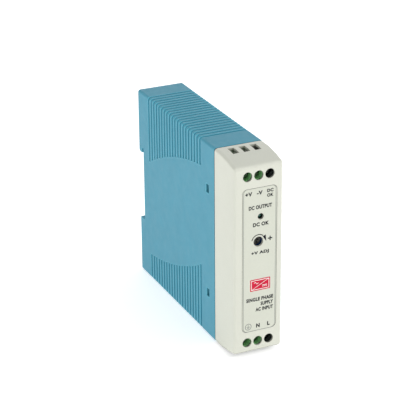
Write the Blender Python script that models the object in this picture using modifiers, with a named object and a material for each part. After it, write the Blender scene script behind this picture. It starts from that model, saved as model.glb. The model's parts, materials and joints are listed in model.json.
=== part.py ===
"""Slim power supply for a 35 mm DIN rail, built as its separate pieces.

Blender's units are metres with +Z up. X is the width, the front faces -Y, and the
bottom lies on Z = 0 with the origin at its centre. The dimensions below are in
millimetres, and MM turns them into metres where a mesh or a curve is made.
"""

import math

import bmesh
import bpy
from mathutils import Matrix, Vector

MM = 0.001
GAP = 0.3
WELD = 0.00001
FLAT_ANGLE = 0.0005

# Outer form
WIDTH = 22.5
HEIGHT = 90.0
FRONT = -50.0
BACK = 50.0
SEAM = -31.0
SEAM_GAP = 0.4
EDGE_RADIUS = 1.2
HALF_WIDTH = WIDTH / 2

# Rear case
CASE_WALL = 1.8
CASE_INNER_X = HALF_WIDTH - CASE_WALL
CASE_INNER_BACK = 43.2
UPPER_POCKET = (66.2, 48.2)
VENT_COUNT = 20
VENT_PITCH = 2.875
VENT_FIRST_Y = 37.7
VENT_WIDTH = 1.3
VENT_DEPTH = 0.7
VENT_SHORT = 12.5
VENT_SLOPE = 0.127
VENT_ARC_RADIUS = 131.0
SNAP_Y = (-25.5, -22.9)
SNAP_OFFSET = 24.4
SNAP_HEIGHT = 3.8
GUIDE_RIB_Y = (-18.0, 40.0)
GUIDE_RIB_WIDTH = 1.0
CASE_INNER_RADIUS = 1.0
REAR_EDGE = 0.5

# Rail seat, for a rail of 35 mm with flanges 1 mm thick
RAIL_LOW = 27.2
RAIL_HIGH = 62.8
RAIL_SEAT_Y = 45.0
HOOK_Y = 46.6
HOOK_TIP = 60.4

# Rail latch and its spring
LATCH_Y = (46.3, 49.5)
LATCH_HALF = 5.6
LATCH_Z = (0.8, 29.6)
LATCH_WING_HALF = 7.2
LATCH_WING_Y = 47.5
LATCH_WINDOW = (8.0, 22.0)
LATCH_WINDOW_HALF = 1.75
LATCH_WING_Z = (3.0, 24.0)
LATCH_SLOT_HALF = 2.2
LATCH_SLOT_Z = (2.2, 4.4)
LATCH_RAMP = 2.8
GRIP_FIRST_Z = 5.2
GRIP_PITCH = 1.0
GRIP_WIDTH = 0.5
GRIP_DEPTH = 0.4
LUG_Z = (8.3, 10.4)
SPRING_Y = 47.9
SPRING_RADIUS = 1.15
SPRING_WIRE = 0.22
SPRING_TURNS = 7

# Front cover
COVER_WALL = 1.4
COVER_TOP_WALL = 1.3
COVER_FRONT_WALL = 1.2
SLOPE_START = -37.5
SLOPE_MIDDLE = (-44.0, 0.95)
SLOPE_DROP = 2.4
COVER_EDGE = 1.4
TONGUE_HALF = 9.25
TONGUE_INNER = 8.25
TONGUE_END = -27.0
TONGUE_RADIUS = 0.8
SNAP_ARM_HALF = 1.7
SNAP_BARB = 1.1
SNAP_TIP = 0.6
RIM_START = -32.9
LABEL_X = (-7.5, 8.5)
LABEL_Z = (12.0, 77.6)
LABEL_RADIUS = 2.0
LABEL_MARGIN = 0.15
LABEL_POCKET = 0.5
LABEL_FACE = -49.95
LABEL_THICKNESS = 0.25
LED_X = 1.0
LED_Z = 64.5
LED_HOLE = 1.3
TRIM_Z = 53.3
TRIM_HOLE = 2.15

# Terminals
POLE_X = (-5.08, 0.0, 5.08)
SCREW_Z = 83.0
SCREW_HOLE = 2.1
ENTRY_HALF = 1.4
ENTRY_Y = (-39.3, -33.6)
BLOCK_ENTRY_Y = (-37.8, -33.4)
BLOCK_HALF = 7.62
BLOCK_Y = (-48.5, -30.5)
BLOCK_Z = (74.4, 86.2)
CAVITY_HALF = 2.15
CAVITY_Y = (-41.1, -32.2)
CAVITY_TOP = 85.1
CAGE_HALF = 1.95
CAGE_WALL = 0.5
CAGE_Y = (-38.9, -32.5)
CAGE_JAWS = (1.2, 1.0)
CAGE_Z = (80.8, 84.8)
SCREW_HEAD = (1.9, 1.8)
SCREW_SEAT_Y = -44.4
SCREW_TIP_Y = -37.5
SHANK_RADIUS = 1.25
THREAD_RADIUS = 1.35
SHANK_BORE = 1.65
SCREW_POINT = 0.4
RECESS_DEPTH = 0.9
RECESS_HALF = 0.35
RECESS_REACH = 1.1
BAR_Y = (-37.3, -36.5)
BAR_HALF = 1.15
BAR_Z = (75.6, 85.0)
LEG_HALF = 0.4
LEG_ENDS = (-28.0, -25.0, -22.0)

# Circuit board
BOARD_X = (-7.4, -5.8)
BOARD_Z = (2.4, 87.6)
BOARD_Y = (-26.5, 41.5)
BOARD_TAB = (-46.5, 22.0, 70.0)
CREEPAGE_Y = (-18.0, -4.0)
CREEPAGE_Z = (55.4, 56.8)
SHEET_X = (-9.1, -8.85)
SHEET_Y = (-20.0, 42.0)
SHEET_Z = (3.9, 86.1)
MOUNT_X = BOARD_X[1] + GAP
LEAD_RADIUS = 0.35

# Trimmer
TRIM_HALF = 4.75
TRIM_Y = (-47.6, -42.8)
ROTOR_RADIUS = 2.2
ROTOR_Y = (-47.8, -46.7)
ROTOR_STEM = 1.0
ROTOR_STEM_LENGTH = 2.9
ROTOR_SLOT_DEPTH = 0.7
ROTOR_SLOT_HALF = 0.35
LED_BODY = 1.45
LED_FLANGE = 1.65
LED_BASE = -43.4
LED_DOME_START = 3.98
HOLDER_HALF = 1.9
HOLDER_Y = (-43.1, -39.5)

# Transformer
CORE_Y = (-5.0, 15.0)
CORE_Z = (32.0, 52.0)
CORE_X = (-1.0, 4.2)
YOKE = 3.5
CENTRE_LEG = 2.4
OUTER_LEG = 3.4
BOBBIN_WALL = 1.1
FLANGE_REACH = 6.2
FLANGE_THICKNESS = 1.0
WINDING_INSET = 1.7

# Packages on their heatsinks
SINK_HALF = 8.0
SINK_FOLD = 4.5
SINK_PLATE = 1.5
SINK_END = 8.0
PACKAGE_HALF = 5.0
PACKAGE_THICKNESS = 4.5
CLIP_THICKNESS = 0.6
CLIP_HALF = 2.2
CLIP_TIP = 4.4
LEG_PITCH = 2.54

# Base colours as display values, then metallic and roughness
FINISHES = {
    "case_blue": ((107, 167, 189), 0.0, 0.45),
    "cover_white": ((219, 220, 210), 0.0, 0.5),
    "label_film": ((217, 219, 207), 0.0, 0.4),
    "latch_grey": ((58, 60, 62), 0.0, 0.55),
    "spring_steel": ((170, 172, 175), 1.0, 0.3),
    "terminal_green": ((62, 150, 78), 0.0, 0.4),
    "zinc_steel": ((178, 180, 178), 1.0, 0.35),
    "tinned_brass": ((196, 190, 165), 1.0, 0.35),
    "board_green": ((38, 92, 58), 0.0, 0.4),
    "insulation_film": ((230, 226, 205), 0.0, 0.5),
    "led_green": ((70, 150, 110), 0.0, 0.15),
    "black_plastic": ((32, 33, 35), 0.0, 0.5),
    "trimmer_blue": ((38, 84, 150), 0.0, 0.4),
    "rotor_dark": ((42, 46, 44), 0.0, 0.45),
    "ferrite": ((62, 62, 64), 0.1, 0.6),
    "bobbin_black": ((36, 34, 32), 0.0, 0.5),
    "winding_tape": ((214, 176, 60), 0.0, 0.45),
    "capacitor_black": ((38, 40, 52), 0.0, 0.35),
    "fuse_sleeve": ((150, 110, 70), 0.0, 0.4),
    "thermistor_green": ((60, 86, 66), 0.0, 0.5),
    "film_yellow": ((222, 190, 70), 0.0, 0.4),
    "disc_blue": ((46, 96, 160), 0.0, 0.35),
    "copper_wire": ((178, 96, 52), 1.0, 0.35),
    "heatsink_aluminium": ((186, 188, 190), 1.0, 0.4),
}


def clear_scene():
    for obj in list(bpy.data.objects):
        bpy.data.objects.remove(obj, do_unlink=True)


clear_scene()
PARTS = bpy.data.collections.new("din_rail_power_supply")
CUTTERS = bpy.data.collections.new("cutters")
bpy.context.scene.collection.children.link(PARTS)
bpy.context.scene.collection.children.link(CUTTERS)


# Meshes


def object_from(name, bm):
    """Turns a bmesh drawn in millimetres into an object in the parts collection."""
    bmesh.ops.scale(bm, vec=(MM, MM, MM), verts=bm.verts)
    bmesh.ops.recalc_face_normals(bm, faces=bm.faces)
    mesh = bpy.data.meshes.new(name)
    bm.to_mesh(mesh)
    bm.free()
    obj = bpy.data.objects.new(name, mesh)
    PARTS.objects.link(obj)
    return obj


def box(name, xs, ys, zs):
    """A box between two values along each axis, in either order."""
    low = Vector((min(xs), min(ys), min(zs)))
    high = Vector((max(xs), max(ys), max(zs)))
    bm = bmesh.new()
    bmesh.ops.create_cube(bm, size=1.0)
    bmesh.ops.scale(bm, vec=high - low, verts=bm.verts)
    bmesh.ops.translate(bm, vec=(low + high) / 2, verts=bm.verts)
    return object_from(name, bm)


def turn_to(axis):
    """The rotation that takes +Z onto the axis."""
    return Vector((0, 0, 1)).rotation_difference(Vector(axis))


def cylinder(name, start, end, radius, segments=24):
    """A capped cylinder from one point to another."""
    start = Vector(start)
    run = Vector(end) - start
    bm = bmesh.new()
    bmesh.ops.create_cone(
        bm, cap_ends=True, segments=segments, radius1=radius, radius2=radius, depth=run.length
    )
    place = Matrix.Translation(start + run / 2) @ turn_to(run).to_matrix().to_4x4()
    bmesh.ops.transform(bm, matrix=place, verts=bm.verts)
    return object_from(name, bm)


def mesh_from_curve(name, curve, place=None):
    """Makes a welded mesh object from a curve, with flat faces left whole, and removes the curve."""
    source = bpy.data.objects.new(name + "_curve", curve)
    PARTS.objects.link(source)
    if place is not None:
        source.matrix_world = place
    bpy.context.view_layer.update()
    evaluated = source.evaluated_get(bpy.context.evaluated_depsgraph_get())
    mesh = bpy.data.meshes.new_from_object(evaluated)
    mesh.name = name
    bm = bmesh.new()
    bm.from_mesh(mesh)
    bmesh.ops.remove_doubles(bm, verts=bm.verts, dist=WELD)
    if curve.dimensions == "2D":
        bmesh.ops.dissolve_limit(bm, angle_limit=FLAT_ANGLE, verts=bm.verts, edges=bm.edges)
    bmesh.ops.recalc_face_normals(bm, faces=bm.faces)
    bm.to_mesh(mesh)
    bm.free()
    obj = bpy.data.objects.new(name, mesh)
    PARTS.objects.link(obj)
    obj.matrix_world = source.matrix_world
    bpy.data.objects.remove(source)
    bpy.data.curves.remove(curve)
    return obj


def poly_spline(curve, points, cyclic):
    spline = curve.splines.new("POLY")
    spline.points.add(len(points) - 1)
    for point, place in zip(spline.points, points):
        x, y, z = (Vector(place).to_3d() * MM)[:]
        point.co = (x, y, z, 1.0)
    spline.use_cyclic_u = cyclic


# An outline's two coordinates are (y, z), (x, z) or (x, y), for a plate across X, Y or Z
PLATE_AXES = {
    "X": ((0, 1, 0), (0, 0, 1), (1, 0, 0)),
    "Y": ((1, 0, 0), (0, 0, 1), (0, -1, 0)),
    "Z": ((1, 0, 0), (0, 1, 0), (0, 0, 1)),
}


def plate(name, outline, axis, between, holes=()):
    """A flat outline, with its holes, given thickness between two values along an axis."""
    curve = bpy.data.curves.new(name, "CURVE")
    curve.dimensions = "2D"
    curve.fill_mode = "BOTH"
    curve.extrude = abs(between[1] - between[0]) / 2 * MM
    for points in (outline, *holes):
        poly_spline(curve, points, True)
    across, up, normal = (Vector(v) for v in PLATE_AXES[axis])
    turn = Matrix((across, up, normal)).transposed().to_4x4()
    middle = (between[0] + between[1]) / 2 * MM
    along = Vector([abs(v) for v in normal]) * middle
    return mesh_from_curve(name, curve, Matrix.Translation(along) @ turn)


def tube(name, points, radius, resolution=1):
    """A round wire along a list of points."""
    curve = bpy.data.curves.new(name, "CURVE")
    curve.dimensions = "3D"
    curve.bevel_depth = radius * MM
    curve.bevel_resolution = resolution
    curve.use_fill_caps = True
    poly_spline(curve, points, False)
    return smooth(mesh_from_curve(name, curve))


def turned(name, profile, base, axis, steps=24):
    """A profile of (radius, height) pairs, listed from top to bottom, turned about an axis."""
    mesh = bpy.data.meshes.new(name)
    points = [(radius * MM, 0.0, height * MM) for radius, height in profile]
    mesh.from_pydata(points, [(i, i + 1) for i in range(len(points) - 1)], [])
    obj = bpy.data.objects.new(name, mesh)
    PARTS.objects.link(obj)
    obj.location = Vector(base) * MM
    obj.rotation_mode = "QUATERNION"
    obj.rotation_quaternion = turn_to(axis)
    screw = obj.modifiers.new("turn", "SCREW")
    screw.steps = steps
    screw.render_steps = steps
    screw.use_merge_vertices = True
    screw.merge_threshold = WELD
    screw.use_smooth_shade = False
    return obj


def rounded_rectangle(low, high, radius, segments=4):
    """The corner points of a rectangle with round corners, counter-clockwise."""
    centres = (
        (high[0] - radius, high[1] - radius),
        (low[0] + radius, high[1] - radius),
        (low[0] + radius, low[1] + radius),
        (high[0] - radius, low[1] + radius),
    )
    points = []
    for quarter, (x, y) in enumerate(centres):
        for step in range(segments + 1):
            angle = math.pi / 2 * (quarter + step / segments)
            points.append((x + radius * math.cos(angle), y + radius * math.sin(angle)))
    return points


def circle(x, y, radius, segments=24):
    angles = [2 * math.pi * step / segments for step in range(segments)]
    return [(x + radius * math.cos(a), y + radius * math.sin(a)) for a in angles]


# Operations


def as_cutter(obj):
    PARTS.objects.unlink(obj)
    CUTTERS.objects.link(obj)
    obj.hide_render = True
    obj.display_type = "WIRE"
    return obj


def combine(obj, operation, others):
    for other in others:
        as_cutter(other)
        modifier = obj.modifiers.new(operation.lower(), "BOOLEAN")
        modifier.operation = operation
        modifier.object = other
        modifier.solver = "EXACT"
    return obj


def cut(obj, *others):
    return combine(obj, "DIFFERENCE", others)


def add(obj, *others):
    return combine(obj, "UNION", others)


def group(name, objects):
    """Puts several separate solids into one object."""
    bm = bmesh.new()
    for obj in objects:
        mesh = obj.data.copy()
        mesh.transform(obj.matrix_world)
        bm.from_mesh(mesh)
        bpy.data.meshes.remove(mesh)
        bpy.data.objects.remove(obj)
    bmesh.ops.scale(bm, vec=(1 / MM, 1 / MM, 1 / MM), verts=bm.verts)
    return object_from(name, bm)


def bevel(obj, width, segments=2, angle=40):
    modifier = obj.modifiers.new("rounded_edges", "BEVEL")
    modifier.width = width * MM
    modifier.segments = segments
    modifier.limit_method = "ANGLE"
    modifier.angle_limit = math.radians(angle)
    return obj


def smooth(obj, angle=35):
    obj.data.shade_smooth()
    obj.data.set_sharp_from_angle(angle=math.radians(angle))
    return obj


def origin_at(obj, point):
    """Moves an object's origin to a point without moving its shape."""
    offset = Vector(point) * MM - obj.location
    obj.data.transform(Matrix.Translation(-offset))
    obj.location += offset
    return obj


def linear(value):
    """A display colour value from 0 to 255 as a linear one."""
    share = value / 255
    return share / 12.92 if share <= 0.04045 else ((share + 0.055) / 1.055) ** 2.4


def finish(obj, finish_name):
    """Gives a sub-part a material of its own."""
    colour, metallic, roughness = FINISHES[finish_name]
    material = bpy.data.materials.new(obj.name + "_" + finish_name)
    material.use_nodes = True
    shader = material.node_tree.nodes["Principled BSDF"]
    shader.inputs["Base Color"].default_value = (*[linear(c) for c in colour], 1.0)
    shader.inputs["Metallic"].default_value = metallic
    shader.inputs["Roughness"].default_value = roughness
    obj.data.materials.append(material)
    return obj


# Rear case


def vent_length(index):
    """How far groove number index, from the long end, runs down from the edge of the case."""
    run = (VENT_COUNT - 1 - index) * VENT_PITCH
    return VENT_SHORT + VENT_SLOPE * run + run**2 / (2 * VENT_ARC_RADIUS)


def vent_cutter(name, y, length, flip):
    """A U-shaped band that cuts one groove down both sides and across one end of the case."""
    inner = HALF_WIDTH - VENT_DEPTH
    outer = HALF_WIDTH + 1
    far = HEIGHT + 1
    top = HEIGHT - VENT_DEPTH
    start = HEIGHT - length
    corner = EDGE_RADIUS - VENT_DEPTH / 2
    arc = rounded_rectangle((-inner, start), (inner, top), corner, 3)[:8]
    outline = [(outer, start), (outer, far), (-outer, far), (-outer, start), (-inner, start)]
    outline += [*reversed(arc), (inner, start)]
    outline = [(x, height_from(z, flip)) for x, z in outline]
    return plate(name, outline, "Y", (y - VENT_WIDTH / 2, y + VENT_WIDTH / 2))


def height_from(z, flip):
    """A height near the top of the case, or its mirror image near the bottom."""
    return HEIGHT - z if flip else z


def vent_cutters():
    cutters = []
    for index in range(VENT_COUNT):
        y = VENT_FIRST_Y - index * VENT_PITCH
        cutters.append(vent_cutter("upper_vent", y, vent_length(index), False))
        cutters.append(vent_cutter("lower_vent", y, vent_length(VENT_COUNT - 1 - index), True))
    return group("vent_cutters", cutters)


def rail_seat_cutter():
    """The recess for the rail's flanges, with an undercut behind the top hook."""
    outline = [
        (RAIL_SEAT_Y, RAIL_LOW),
        (BACK + 1, RAIL_LOW),
        (BACK + 1, HOOK_TIP + 2),
        (BACK - 1, HOOK_TIP),
        (HOOK_Y, HOOK_TIP),
        (HOOK_Y, RAIL_HIGH),
        (RAIL_SEAT_Y, RAIL_HIGH),
    ]
    return plate("rail_seat_cutter", outline, "X", (-HALF_WIDTH - 1, HALF_WIDTH + 1))


def latch_channel_cutter():
    """A T-shaped channel up the back of the case for the latch and its wings."""
    wing = LATCH_WING_HALF + GAP
    neck = LATCH_HALF + GAP
    floor = LATCH_Y[0] - GAP
    lip = LATCH_WING_Y + GAP
    outline = [
        (-wing, floor),
        (wing, floor),
        (wing, lip),
        (neck, lip),
        (neck, BACK + 1),
        (-neck, BACK + 1),
        (-neck, lip),
        (-wing, lip),
    ]
    return plate("latch_channel_cutter", outline, "Z", (-1, RAIL_LOW + 0.2))


def snap_windows():
    across = (-HALF_WIDTH - 1, HALF_WIDTH + 1)
    windows = []
    for side in (-1, 1):
        middle = HEIGHT / 2 + side * SNAP_OFFSET
        heights = (middle - SNAP_HEIGHT / 2, middle + SNAP_HEIGHT / 2)
        windows.append(box("snap_window", across, SNAP_Y, heights))
    return windows


def guide_ribs():
    """Four ribs that hold the edges of the circuit board."""
    ribs = []
    for low_x in (BOARD_X[0] - GAP - GUIDE_RIB_WIDTH, BOARD_X[1] + GAP):
        for flip in (False, True):
            heights = [height_from(z, flip) for z in (HEIGHT - CASE_WALL + 0.3, BOARD_Z[1] - 1)]
            ribs.append(box("guide_rib", (low_x, low_x + GUIDE_RIB_WIDTH), GUIDE_RIB_Y, heights))
    return ribs


def make_rear_case():
    outline = rounded_rectangle((-HALF_WIDTH, 0), (HALF_WIDTH, HEIGHT), EDGE_RADIUS, 4)
    case = plate("rear_case", outline, "Y", (SEAM, BACK))
    bevel(case, REAR_EDGE, 2, 60)
    low, high = CASE_WALL, HEIGHT - CASE_WALL
    inner = rounded_rectangle((-CASE_INNER_X, low), (CASE_INNER_X, high), CASE_INNER_RADIUS, 2)
    cavity = plate("case_cavity", inner, "Y", (SEAM - 1, CASE_INNER_BACK))
    pocket_low, pocket_back = UPPER_POCKET
    pocket_x = (-CASE_INNER_X + 0.1, CASE_INNER_X - 0.1)
    pocket_z = (pocket_low, HEIGHT - CASE_WALL - 0.1)
    pocket = box("case_pocket", pocket_x, (CASE_INNER_BACK - 1, pocket_back), pocket_z)
    cut(case, cavity, pocket, rail_seat_cutter(), latch_channel_cutter(), vent_cutters())
    cut(case, *snap_windows())
    lug_half = LATCH_WINDOW_HALF - GAP
    lug = box("spring_lug", (-lug_half, lug_half), (LATCH_Y[0] - 1, LATCH_Y[1] - GAP), LUG_Z)
    add(case, lug, *guide_ribs())
    return finish(smooth(case), "case_blue")


# Rail latch


def make_din_latch():
    latch = box("din_latch", (-LATCH_HALF, LATCH_HALF), LATCH_Y, LATCH_Z)
    wing_y = (LATCH_Y[0], LATCH_WING_Y)
    wings = box("latch_wings", (-LATCH_WING_HALF, LATCH_WING_HALF), wing_y, LATCH_WING_Z)
    add(latch, wings)
    window_x = (-LATCH_WINDOW_HALF, LATCH_WINDOW_HALF)
    through = (LATCH_Y[0] - 1, LATCH_Y[1] + 1)
    window = box("latch_window", window_x, through, LATCH_WINDOW)
    slot = box("latch_slot", (-LATCH_SLOT_HALF, LATCH_SLOT_HALF), through, LATCH_SLOT_Z)
    beyond = (LATCH_Y[1] + GAP, LATCH_Z[1] + 0.2)
    ramp_outline = [(beyond[0] - LATCH_RAMP, beyond[1]), (beyond[0], beyond[1] - LATCH_RAMP), beyond]
    ramp = plate("latch_ramp", ramp_outline, "X", (-LATCH_HALF - 1, LATCH_HALF + 1))
    grip_y = (LATCH_Y[1] - GRIP_DEPTH, LATCH_Y[1] + 1)
    grips = [
        box("latch_grip", (-LATCH_HALF - 1, LATCH_HALF + 1), grip_y, (z, z + GRIP_WIDTH))
        for z in (GRIP_FIRST_Z + GRIP_PITCH * number for number in range(3))
    ]
    cut(latch, window, slot, ramp, *grips)
    origin_at(latch, (0, SPRING_Y, LATCH_Z[0]))
    return finish(latch, "latch_grey")


def make_latch_spring():
    low = LUG_Z[1] + GAP + SPRING_WIRE
    high = LATCH_WINDOW[1] - GAP - SPRING_WIRE
    per_turn = 9
    count = SPRING_TURNS * per_turn
    points = []
    for step in range(count + 1):
        angle = 2 * math.pi * step / per_turn
        z = low + (high - low) * step / count
        x, y = SPRING_RADIUS * math.cos(angle), SPRING_RADIUS * math.sin(angle)
        points.append((x, SPRING_Y + y, z))
    spring = tube("latch_spring", points, SPRING_WIRE, 2)
    origin_at(spring, (0, SPRING_Y, LUG_Z[1]))
    return finish(spring, "spring_steel")


# Front cover and label


def cover_profile(inset_front, inset_top, rear):
    """The cover's side outline as (y, z), moved inwards by the two insets."""
    front = FRONT + inset_front
    upper = [
        (rear, HEIGHT - inset_top),
        (SLOPE_START, HEIGHT - inset_top),
        (SLOPE_MIDDLE[0], HEIGHT - SLOPE_MIDDLE[1] - inset_top),
        (front, HEIGHT - SLOPE_DROP - inset_top + inset_front * 0.2),
    ]
    lower = [(y, HEIGHT - z) for y, z in reversed(upper)]
    return upper + lower


def front_holes():
    """(x, z, radius) of each round hole in the cover's front."""
    holes = [(x, z, SCREW_HOLE) for z in (SCREW_Z, HEIGHT - SCREW_Z) for x in POLE_X]
    return [*holes, (LED_X, LED_Z, LED_HOLE), (0.0, TRIM_Z, TRIM_HOLE)]


def snap_arms():
    """Four arms with hooks that catch in the windows of the case."""
    arms = []
    for side in (-1, 1):
        for end in (-1, 1):
            middle = HEIGHT / 2 + end * SNAP_OFFSET
            heights = (middle - SNAP_ARM_HALF, middle + SNAP_ARM_HALF)
            outline = [
                (side * TONGUE_INNER, TONGUE_END - 0.5),
                (side * TONGUE_HALF, TONGUE_END - 0.5),
                (side * TONGUE_HALF, SNAP_Y[0] + 0.2),
                (side * (TONGUE_HALF + SNAP_BARB), SNAP_Y[0] + 0.2),
                (side * (TONGUE_HALF + SNAP_BARB), SNAP_Y[0] + 0.7),
                (side * TONGUE_HALF, SNAP_Y[1] - 0.4),
                (side * (TONGUE_HALF - 0.3), SNAP_Y[1] + SNAP_TIP),
                (side * TONGUE_INNER, SNAP_Y[1] + SNAP_TIP),
            ]
            arms.append(plate("snap_arm", outline, "Z", heights))
    return arms


def make_front_cover():
    profile = cover_profile(0, 0, SEAM + 5)
    cover = plate("front_cover", profile, "X", (-HALF_WIDTH, HALF_WIDTH))
    bevel(cover, COVER_EDGE, 3, 50)
    rear = SEAM - SEAM_GAP
    trim_x = (-HALF_WIDTH - 1, HALF_WIDTH + 1)
    cut(cover, box("cover_trim", trim_x, (rear, SEAM + 10), (-1, HEIGHT + 1)))
    low, high = CASE_WALL + 0.2, HEIGHT - CASE_WALL - 0.2
    tongue_outline = rounded_rectangle((-TONGUE_HALF, low), (TONGUE_HALF, high), TONGUE_RADIUS, 2)
    add(cover, plate("cover_tongue", tongue_outline, "Y", (RIM_START, TONGUE_END)))
    cavity_profile = cover_profile(COVER_FRONT_WALL, COVER_TOP_WALL, RIM_START)
    inner = HALF_WIDTH - COVER_WALL
    cavity = plate("cover_cavity", cavity_profile, "X", (-inner, inner))
    mouth_z = (low + 1, high - 1)
    mouth = box("cover_mouth", (-TONGUE_INNER, TONGUE_INNER), (RIM_START - 1, -20), mouth_z)
    cut(cover, cavity, mouth)
    add(cover, *snap_arms())
    pocket_outline = rounded_rectangle(
        (LABEL_X[0], LABEL_Z[0]), (LABEL_X[1], LABEL_Z[1]), LABEL_RADIUS
    )
    cut(cover, plate("label_pocket", pocket_outline, "Y", (FRONT - 1, FRONT + LABEL_POCKET)))
    bores = [
        cylinder("front_bore", (x, FRONT - 1, z), (x, FRONT + 2, z), radius)
        for x, z, radius in front_holes()
    ]
    entries = [
        box("wire_entry", (x - ENTRY_HALF, x + ENTRY_HALF), ENTRY_Y, heights)
        for x in POLE_X
        for heights in ((HEIGHT - 4, HEIGHT + 1), (-1, 4))
    ]
    cut(cover, group("cover_openings", bores + entries))
    return finish(smooth(cover), "cover_white")


def make_front_label():
    low = (LABEL_X[0] + LABEL_MARGIN, LABEL_Z[0] + LABEL_MARGIN)
    high = (LABEL_X[1] - LABEL_MARGIN, LABEL_Z[1] - LABEL_MARGIN)
    outline = rounded_rectangle(low, high, LABEL_RADIUS - LABEL_MARGIN)
    holes = [circle(x, z, radius + 0.1) for x, z, radius in front_holes()[-2:]]
    label = plate(
        "front_label", outline, "Y", (LABEL_FACE, LABEL_FACE + LABEL_THICKNESS), holes
    )
    return finish(smooth(label), "label_film")


# Terminals


def make_terminal_block(name, flip):
    heights = [height_from(z, flip) for z in BLOCK_Z]
    block = box(name, (-BLOCK_HALF, BLOCK_HALF), BLOCK_Y, heights)
    bevel(block, 0.3, 1)
    screw_z = height_from(SCREW_Z, flip)
    openings = []
    for x in POLE_X:
        cavity_z = [height_from(z, flip) for z in (BLOCK_Z[0] - 1, CAVITY_TOP)]
        entry_z = [height_from(z, flip) for z in (CAVITY_TOP - 0.5, BLOCK_Z[1] + 1)]
        slot_z = [height_from(z, flip) for z in (BLOCK_Z[0] - 1, BAR_Z[0] + 1.0)]
        openings.append(box("pole_cavity", (x - CAVITY_HALF, x + CAVITY_HALF), CAVITY_Y, cavity_z))
        openings.append(box("pole_entry", (x - ENTRY_HALF, x + ENTRY_HALF), BLOCK_ENTRY_Y, entry_z))
        openings.append(box("pole_slot", (x - 0.6, x + 0.6), (CAVITY_Y[1] - 0.5, -29), slot_z))
        head_end = (x, SCREW_SEAT_Y + 0.2, screw_z)
        head_start, shank_end = (x, FRONT, screw_z), (x, CAVITY_Y[0] + 0.5, screw_z)
        openings.append(cylinder("head_bore", head_start, head_end, SCREW_HOLE + 0.1, 16))
        openings.append(cylinder("shank_bore", head_end, shank_end, SHANK_BORE, 16))
    cut(block, *openings)
    return finish(smooth(block), "terminal_green")


def make_terminal_screw(name, x, flip):
    z = height_from(SCREW_Z, flip)
    radius, thickness = SCREW_HEAD
    length = SCREW_TIP_Y - SCREW_SEAT_Y
    profile = [
        (0.0, thickness),
        (radius - 0.3, thickness),
        (radius, thickness - 0.3),
        (radius, 0.0),
        (SHANK_RADIUS, 0.0),
        (SHANK_RADIUS, SCREW_POINT - length),
        (SHANK_RADIUS - SCREW_POINT, -length),
        (0.0, -length),
    ]
    screw = turned(name, profile, (x, SCREW_SEAT_Y, z), (0, -1, 0), 16)
    face = SCREW_SEAT_Y - thickness
    deep = (face - 1, face + RECESS_DEPTH)
    slot_z = (z - RECESS_HALF, z + RECESS_HALF)
    slot = box("screw_slot", (x - radius - 1, x + radius + 1), deep, slot_z)
    cross_x = (x - RECESS_HALF, x + RECESS_HALF)
    cross = box("screw_cross", cross_x, deep, (z - RECESS_REACH, z + RECESS_REACH))
    cut(screw, slot, cross)
    return finish(smooth(screw), "zinc_steel")


def make_clamp_cage(name, x, flip):
    """A square loop round the wire, with a threaded front wall."""
    heights = [height_from(z, flip) for z in CAGE_Z]
    cage = box(name, (x - CAGE_HALF, x + CAGE_HALF), CAGE_Y, heights)
    bevel(cage, 0.25, 1)
    inner = CAGE_HALF - CAGE_WALL
    hollow_y = (CAGE_Y[0] + CAGE_JAWS[0], CAGE_Y[1] - CAGE_JAWS[1])
    hollow_z = (heights[0] - 5, heights[0] + 5)
    hollow = box("cage_hollow", (x - inner, x + inner), hollow_y, hollow_z)
    z = height_from(SCREW_Z, flip)
    thread = cylinder("cage_thread", (x, CAGE_Y[0] - 1, z), (x, CAGE_Y[0] + 2, z), THREAD_RADIUS, 20)
    cut(cage, hollow, thread)
    origin_at(cage, (x, CAGE_Y[0], z))
    return finish(cage, "zinc_steel")


def make_contact(name, x, leg_end, flip):
    """A bar beside the wire, with a leg that runs back and across to the circuit board."""
    leg_z = [height_from(z, flip) for z in (BAR_Z[0], BAR_Z[0] + 0.8)]
    bar_z = [height_from(z, flip) for z in BAR_Z]
    bar = box(name, (x - BAR_HALF, x + BAR_HALF), BAR_Y, bar_z)
    leg_x = (x - LEG_HALF, x + LEG_HALF)
    leg = box("contact_leg", leg_x, (BAR_Y[1] - 0.4, leg_end), leg_z)
    foot = box("contact_foot", (MOUNT_X, x + LEG_HALF), (leg_end - 2 * LEG_HALF, leg_end), leg_z)
    return finish(add(bar, leg, foot), "tinned_brass")


def make_terminals():
    for side, flip in (("output", False), ("input", True)):
        make_terminal_block(side + "_terminal_block", flip)
        for number, (x, leg_end) in enumerate(zip(POLE_X, LEG_ENDS), start=1):
            make_terminal_screw(f"{side}_screw_{number}", x, flip)
            make_clamp_cage(f"{side}_cage_{number}", x, flip)
            make_contact(f"{side}_contact_{number}", x, leg_end, flip)


# Circuit board and what faces the front


def make_main_board():
    tab_y, tab_low, tab_high = BOARD_TAB
    outline = [
        (BOARD_Y[0], BOARD_Z[0]),
        (BOARD_Y[1], BOARD_Z[0]),
        (BOARD_Y[1], BOARD_Z[1]),
        (BOARD_Y[0], BOARD_Z[1]),
        (BOARD_Y[0], tab_high),
        (tab_y, tab_high),
        (tab_y, tab_low),
        (BOARD_Y[0], tab_low),
    ]
    low, high = zip(CREEPAGE_Y, CREEPAGE_Z)
    creepage_slot = rounded_rectangle(low, high, 0.49 * (CREEPAGE_Z[1] - CREEPAGE_Z[0]), 2)
    board = plate("main_board", outline, "X", BOARD_X, [creepage_slot])
    return finish(board, "board_green")


def make_insulation_sheet():
    low, high = zip(SHEET_Y, SHEET_Z)
    outline = rounded_rectangle(low, high, 1.5, 2)
    return finish(plate("insulation_sheet", outline, "X", SHEET_X), "insulation_film")


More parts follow.
